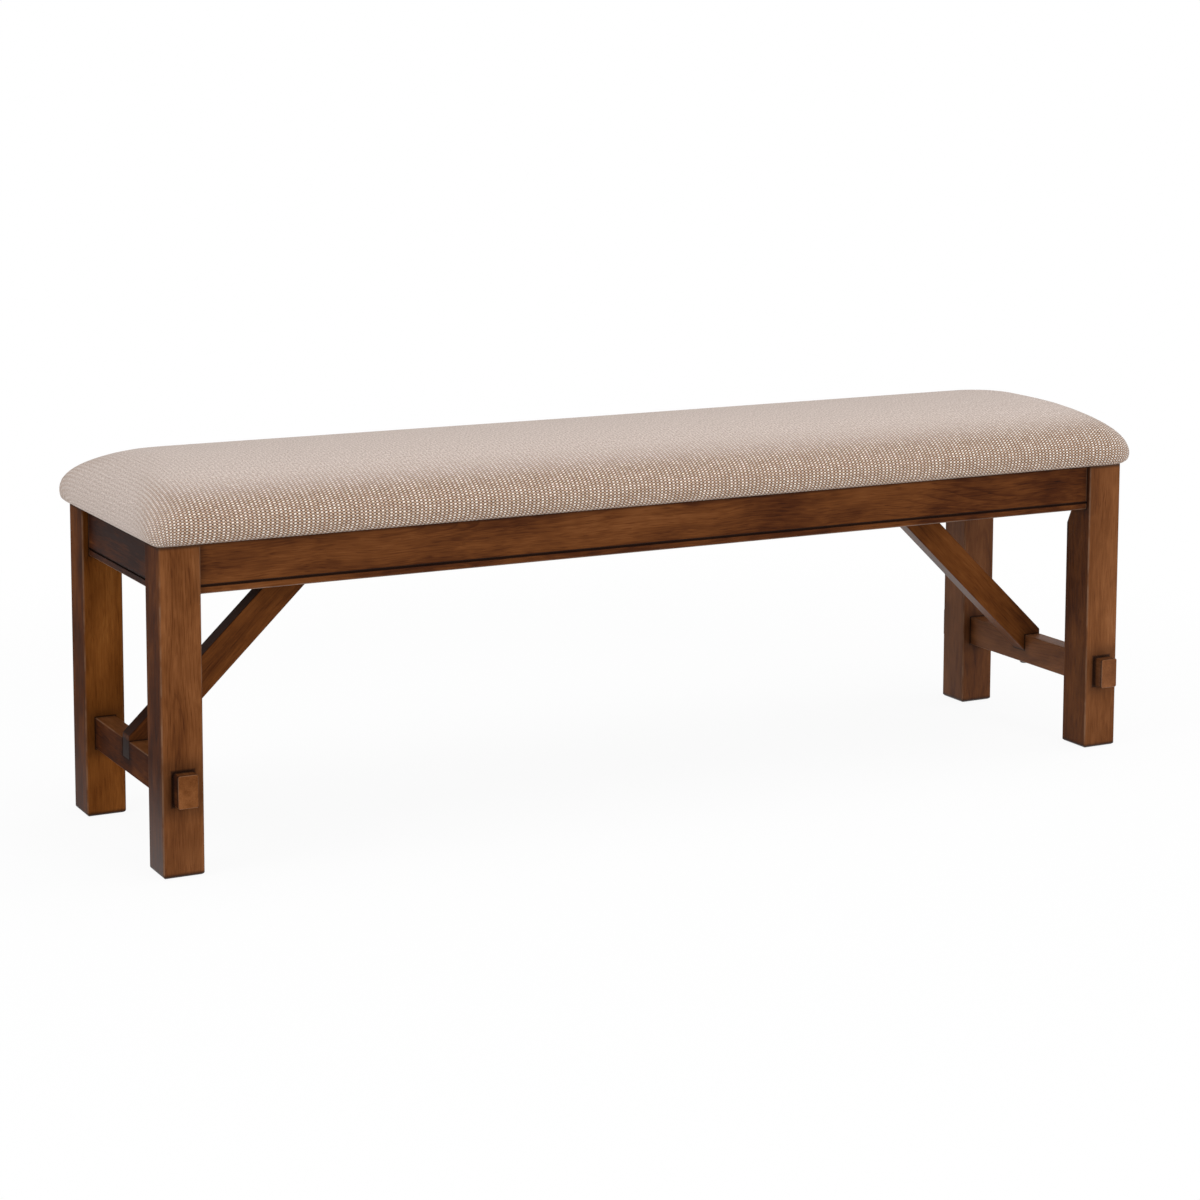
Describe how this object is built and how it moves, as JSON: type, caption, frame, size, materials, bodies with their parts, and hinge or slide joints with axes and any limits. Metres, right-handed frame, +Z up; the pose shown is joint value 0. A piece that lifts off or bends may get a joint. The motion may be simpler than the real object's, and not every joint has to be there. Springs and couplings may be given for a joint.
{
  "type": "dining bench",
  "caption": "Long upholstered dining bench on square wooden legs, with through-tenoned end stretchers and diagonal braces to the seat rails.",
  "frame": {"origin": "on the floor, under the middle of the bench", "axes": "+X along the bench to its right end, +Y from front to back, +Z up"},
  "size_m": [1.524, 0.413, 0.514],
  "materials": {
    "stained_wood": "brown stained hardwood, satin, with worn arrises",
    "plain_wood": "planed softwood, unfinished",
    "plywood": "sanded plywood",
    "steel": "zinc plated steel",
    "glide_plastic": "dark nylon",
    "foam": "seat foam with a wadding wrap",
    "cover_cloth": "ribbed woven cloth in cream and pinkish brown",
    "dust_cloth": "thin black non-woven cloth"
  },
  "bodies": {
    "root": {"leg_front_left": "stained_wood", "leg_front_right": "stained_wood", "leg_back_left": "stained_wood", "leg_back_right": "stained_wood", "apron_front": "stained_wood", "apron_back": "stained_wood", "apron_left": "stained_wood", "apron_right": "stained_wood", "stretcher_left": "stained_wood", "stretcher_right": "stained_wood", "brace_left": "stained_wood", "brace_right": "stained_wood", "corner_block_front_left": "plain_wood", "corner_block_front_right": "plain_wood", "corner_block_back_left": "plain_wood", "corner_block_back_right": "plain_wood", "cross_rail_left": "plain_wood", "cross_rail_right": "plain_wood", "apron_dowels": "plain_wood", "rail_dowels": "plain_wood", "seat_board": "plywood", "block_screws": "steel", "hanger_bolts": "steel", "bolt_washers": "steel", "bolt_nuts": "steel", "rail_screws": "steel", "brace_foot_screws": "steel", "seat_screws": "steel", "glides": "glide_plastic", "seat_foam": "foam", "seat_cover": "cover_cloth", "dust_cover": "dust_cloth"}
  },
  "joints": []
}
